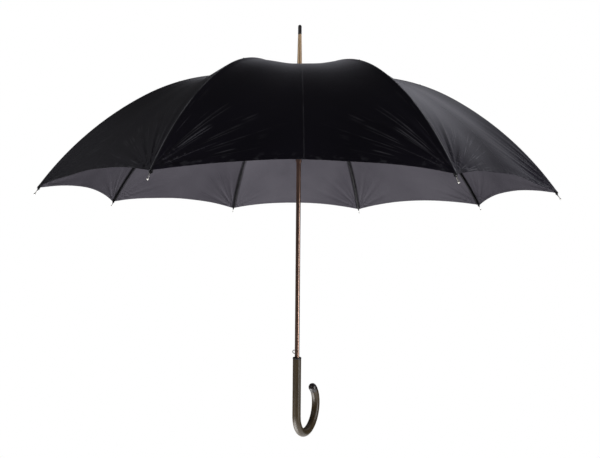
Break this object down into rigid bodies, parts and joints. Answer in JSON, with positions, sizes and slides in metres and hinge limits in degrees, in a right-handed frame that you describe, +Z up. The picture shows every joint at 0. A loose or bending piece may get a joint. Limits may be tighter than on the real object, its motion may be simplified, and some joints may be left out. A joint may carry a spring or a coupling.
{
  "type": "stick umbrella",
  "caption": "Open black stick umbrella with a fluted folding frame, sliding runner, bronze-brown shaft, long tapered ferrule and dark crook handle.",
  "frame": {"origin": "on the shaft's axis, half way up the handle's straight grip", "axes": "+Z up the shaft to the ferrule, +X the way the crook points"},
  "size_m": [1.0104, 1.0104, 0.9],
  "materials": {
    "cloth": "satin",
    "frame_paint": "gloss",
    "shaft_metal": "satin",
    "ferrule_metal": "satin",
    "wire_steel": "polished",
    "black_plastic": "matte",
    "cap_plastic": "gloss",
    "handle_wood": "satin",
    "catch_wire": "satin"
  },
  "bodies": {
    "frame": {"shaft": "shaft_metal", "ferrule": "ferrule_metal", "ferrule_cap": "cap_plastic", "top_notch": "black_plastic", "notch_ring": "wire_steel", "rosette": "black_plastic", "runner_stop": "shaft_metal", "handle": "handle_wood", "handle_collar": "black_plastic", "handle_cap": "cap_plastic"},
    "runner": {"runner_crown": "black_plastic", "runner_sleeve": "shaft_metal", "runner_ring": "wire_steel"},
    "top_spring": {"top_catch": "wire_steel"},
    "bottom_spring": {"bottom_catch": "catch_wire"},
    "rib_1": {"rib_inner_1": "frame_paint", "panel_inner_1": "cloth"},
    "rib_end_1": {"rib_outer_1": "frame_paint", "panel_outer_1": "cloth"},
    "strut_1": {"stretcher_1": "frame_paint"},
    "rib_2": {"rib_inner_2": "frame_paint", "panel_inner_2": "cloth"},
    "rib_end_2": {"rib_outer_2": "frame_paint", "panel_outer_2": "cloth", "tie_strap": "cloth", "tie_stud": "cap_plastic"},
    "strut_2": {"stretcher_2": "frame_paint"},
    "rib_3": {"rib_inner_3": "frame_paint", "panel_inner_3": "cloth"},
    "rib_end_3": {"rib_outer_3": "frame_paint", "panel_outer_3": "cloth"},
    "strut_3": {"stretcher_3": "frame_paint"},
    "rib_4": {"rib_inner_4": "frame_paint", "panel_inner_4": "cloth"},
    "rib_end_4": {"rib_outer_4": "frame_paint", "panel_outer_4": "cloth"},
    "strut_4": {"stretcher_4": "frame_paint"},
    "rib_5": {"rib_inner_5": "frame_paint", "panel_inner_5": "cloth"},
    "rib_end_5": {"rib_outer_5": "frame_paint", "panel_outer_5": "cloth"},
    "strut_5": {"stretcher_5": "frame_paint"},
    "rib_6": {"rib_inner_6": "frame_paint", "panel_inner_6": "cloth"},
    "rib_end_6": {"rib_outer_6": "frame_paint", "panel_outer_6": "cloth"},
    "strut_6": {"stretcher_6": "frame_paint"},
    "rib_7": {"rib_inner_7": "frame_paint", "panel_inner_7": "cloth"},
    "rib_end_7": {"rib_outer_7": "frame_paint", "panel_outer_7": "cloth"},
    "strut_7": {"stretcher_7": "frame_paint"},
    "rib_8": {"rib_inner_8": "frame_paint", "panel_inner_8": "cloth"},
    "rib_end_8": {"rib_outer_8": "frame_paint", "panel_outer_8": "cloth"},
    "strut_8": {"stretcher_8": "frame_paint"}
  },
  "joints": [
    {"name": "runner_slide", "type": "slide", "parent": "frame", "child": "runner", "axis": [0, 0, -1], "range_m": [0, 0.41826], "deforming": ["panel_inner_1", "panel_inner_2", "panel_inner_3", "panel_inner_4", "panel_inner_5", "panel_inner_6", "panel_inner_7", "panel_inner_8", "panel_outer_1", "panel_outer_2", "panel_outer_3", "panel_outer_4", "panel_outer_5", "panel_outer_6", "panel_outer_7", "panel_outer_8", "tie_strap", "tie_stud", "top_catch", "bottom_catch"]},
    {"name": "rib_hinge_1", "type": "hinge", "parent": "frame", "child": "rib_1", "pos_m": [0.00997, 0.00078, 0.6638], "axis": [-0.0785, 0.9969, 0], "range_deg": [0, 78.55]},
    {"name": "rib_flex_1", "type": "hinge", "parent": "rib_1", "child": "rib_end_1", "pos_m": [0.26732, 0.02104, 0.61687], "axis": [-0.0785, 0.9969, 0], "range_deg": [-32.46, 0]},
    {"name": "strut_hinge_1", "type": "hinge", "parent": "rib_1", "child": "strut_1", "pos_m": [0.26502, 0.02086, 0.61187], "axis": [-0.0785, 0.9969, 0], "range_deg": [-157.07, 0]},
    {"name": "rib_hinge_2", "type": "hinge", "parent": "frame", "child": "rib_2", "pos_m": [0.00649, 0.0076, 0.6638], "axis": [-0.7604, 0.6494, 0], "range_deg": [0, 78.55]},
    {"name": "rib_flex_2", "type": "hinge", "parent": "rib_2", "child": "rib_end_2", "pos_m": [0.17415, 0.2039, 0.61687], "axis": [-0.7604, 0.6494, 0], "range_deg": [-32.46, 0]},
    {"name": "strut_hinge_2", "type": "hinge", "parent": "rib_2", "child": "strut_2", "pos_m": [0.17265, 0.20215, 0.61187], "axis": [-0.7604, 0.6494, 0], "range_deg": [-157.07, 0]},
    {"name": "rib_hinge_3", "type": "hinge", "parent": "frame", "child": "rib_3", "pos_m": [-0.00078, 0.00997, 0.6638], "axis": [-0.9969, -0.0785, 0], "range_deg": [0, 78.55]},
    {"name": "rib_flex_3", "type": "hinge", "parent": "rib_3", "child": "rib_end_3", "pos_m": [-0.02104, 0.26732, 0.61687], "axis": [-0.9969, -0.0785, 0], "range_deg": [-32.46, 0]},
    {"name": "strut_hinge_3", "type": "hinge", "parent": "rib_3", "child": "strut_3", "pos_m": [-0.02086, 0.26502, 0.61187], "axis": [-0.9969, -0.0785, 0], "range_deg": [-157.07, 0]},
    {"name": "rib_hinge_4", "type": "hinge", "parent": "frame", "child": "rib_4", "pos_m": [-0.0076, 0.00649, 0.6638], "axis": [-0.6494, -0.7604, 0], "range_deg": [0, 78.55]},
    {"name": "rib_flex_4", "type": "hinge", "parent": "rib_4", "child": "rib_end_4", "pos_m": [-0.2039, 0.17415, 0.61687], "axis": [-0.6494, -0.7604, 0], "range_deg": [-32.46, 0]},
    {"name": "strut_hinge_4", "type": "hinge", "parent": "rib_4", "child": "strut_4", "pos_m": [-0.20215, 0.17265, 0.61187], "axis": [-0.6494, -0.7604, 0], "range_deg": [-157.07, 0]},
    {"name": "rib_hinge_5", "type": "hinge", "parent": "frame", "child": "rib_5", "pos_m": [-0.00997, -0.00078, 0.6638], "axis": [0.0785, -0.9969, 0], "range_deg": [0, 78.55]},
    {"name": "rib_flex_5", "type": "hinge", "parent": "rib_5", "child": "rib_end_5", "pos_m": [-0.26732, -0.02104, 0.61687], "axis": [0.0785, -0.9969, 0], "range_deg": [-32.46, 0]},
    {"name": "strut_hinge_5", "type": "hinge", "parent": "rib_5", "child": "strut_5", "pos_m": [-0.26502, -0.02086, 0.61187], "axis": [0.0785, -0.9969, 0], "range_deg": [-157.07, 0]},
    {"name": "rib_hinge_6", "type": "hinge", "parent": "frame", "child": "rib_6", "pos_m": [-0.00649, -0.0076, 0.6638], "axis": [0.7604, -0.6494, 0], "range_deg": [0, 78.55]},
    {"name": "rib_flex_6", "type": "hinge", "parent": "rib_6", "child": "rib_end_6", "pos_m": [-0.17415, -0.2039, 0.61687], "axis": [0.7604, -0.6494, 0], "range_deg": [-32.46, 0]},
    {"name": "strut_hinge_6", "type": "hinge", "parent": "rib_6", "child": "strut_6", "pos_m": [-0.17265, -0.20215, 0.61187], "axis": [0.7604, -0.6494, 0], "range_deg": [-157.07, 0]},
    {"name": "rib_hinge_7", "type": "hinge", "parent": "frame", "child": "rib_7", "pos_m": [0.00078, -0.00997, 0.6638], "axis": [0.9969, 0.0785, 0], "range_deg": [0, 78.55]},
    {"name": "rib_flex_7", "type": "hinge", "parent": "rib_7", "child": "rib_end_7", "pos_m": [0.02104, -0.26732, 0.61687], "axis": [0.9969, 0.0785, 0], "range_deg": [-32.46, 0]},
    {"name": "strut_hinge_7", "type": "hinge", "parent": "rib_7", "child": "strut_7", "pos_m": [0.02086, -0.26502, 0.61187], "axis": [0.9969, 0.0785, 0], "range_deg": [-157.07, 0]},
    {"name": "rib_hinge_8", "type": "hinge", "parent": "frame", "child": "rib_8", "pos_m": [0.0076, -0.00649, 0.6638], "axis": [0.6494, 0.7604, 0], "range_deg": [0, 78.55]},
    {"name": "rib_flex_8", "type": "hinge", "parent": "rib_8", "child": "rib_end_8", "pos_m": [0.2039, -0.17415, 0.61687], "axis": [0.6494, 0.7604, 0], "range_deg": [-32.46, 0]},
    {"name": "strut_hinge_8", "type": "hinge", "parent": "rib_8", "child": "strut_8", "pos_m": [0.20215, -0.17265, 0.61187], "axis": [0.6494, 0.7604, 0], "range_deg": [-157.07, 0]},
    {"name": "top_spring_press", "type": "slide", "parent": "frame", "child": "top_spring", "axis": [0, -1, 0], "range_m": [0, 0.0036], "stiffness_N_per_m": 150, "springref_m": -0.002},
    {"name": "bottom_spring_press", "type": "slide", "parent": "frame", "child": "bottom_spring", "axis": [0, -1, 0], "range_m": [0, 0.0062], "stiffness_N_per_m": 150, "springref_m": -0.002}
  ],
  "couplings": [
    {"joint": "rib_hinge_1", "follows": "runner_slide", "rad_per_m": 3.2768},
    {"joint": "rib_flex_1", "follows": "runner_slide", "rad_per_m": -1.3537},
    {"joint": "strut_hinge_1", "follows": "runner_slide", "rad_per_m": -6.5535},
    {"joint": "rib_hinge_2", "follows": "runner_slide", "rad_per_m": 3.2768},
    {"joint": "rib_flex_2", "follows": "runner_slide", "rad_per_m": -1.3537},
    {"joint": "strut_hinge_2", "follows": "runner_slide", "rad_per_m": -6.5535},
    {"joint": "rib_hinge_3", "follows": "runner_slide", "rad_per_m": 3.2768},
    {"joint": "rib_flex_3", "follows": "runner_slide", "rad_per_m": -1.3537},
    {"joint": "strut_hinge_3", "follows": "runner_slide", "rad_per_m": -6.5535},
    {"joint": "rib_hinge_4", "follows": "runner_slide", "rad_per_m": 3.2768},
    {"joint": "rib_flex_4", "follows": "runner_slide", "rad_per_m": -1.3537},
    {"joint": "strut_hinge_4", "follows": "runner_slide", "rad_per_m": -6.5535},
    {"joint": "rib_hinge_5", "follows": "runner_slide", "rad_per_m": 3.2768},
    {"joint": "rib_flex_5", "follows": "runner_slide", "rad_per_m": -1.3537},
    {"joint": "strut_hinge_5", "follows": "runner_slide", "rad_per_m": -6.5535},
    {"joint": "rib_hinge_6", "follows": "runner_slide", "rad_per_m": 3.2768},
    {"joint": "rib_flex_6", "follows": "runner_slide", "rad_per_m": -1.3537},
    {"joint": "strut_hinge_6", "follows": "runner_slide", "rad_per_m": -6.5535},
    {"joint": "rib_hinge_7", "follows": "runner_slide", "rad_per_m": 3.2768},
    {"joint": "rib_flex_7", "follows": "runner_slide", "rad_per_m": -1.3537},
    {"joint": "strut_hinge_7", "follows": "runner_slide", "rad_per_m": -6.5535},
    {"joint": "rib_hinge_8", "follows": "runner_slide", "rad_per_m": 3.2768},
    {"joint": "rib_flex_8", "follows": "runner_slide", "rad_per_m": -1.3537},
    {"joint": "strut_hinge_8", "follows": "runner_slide", "rad_per_m": -6.5535}
  ]
}
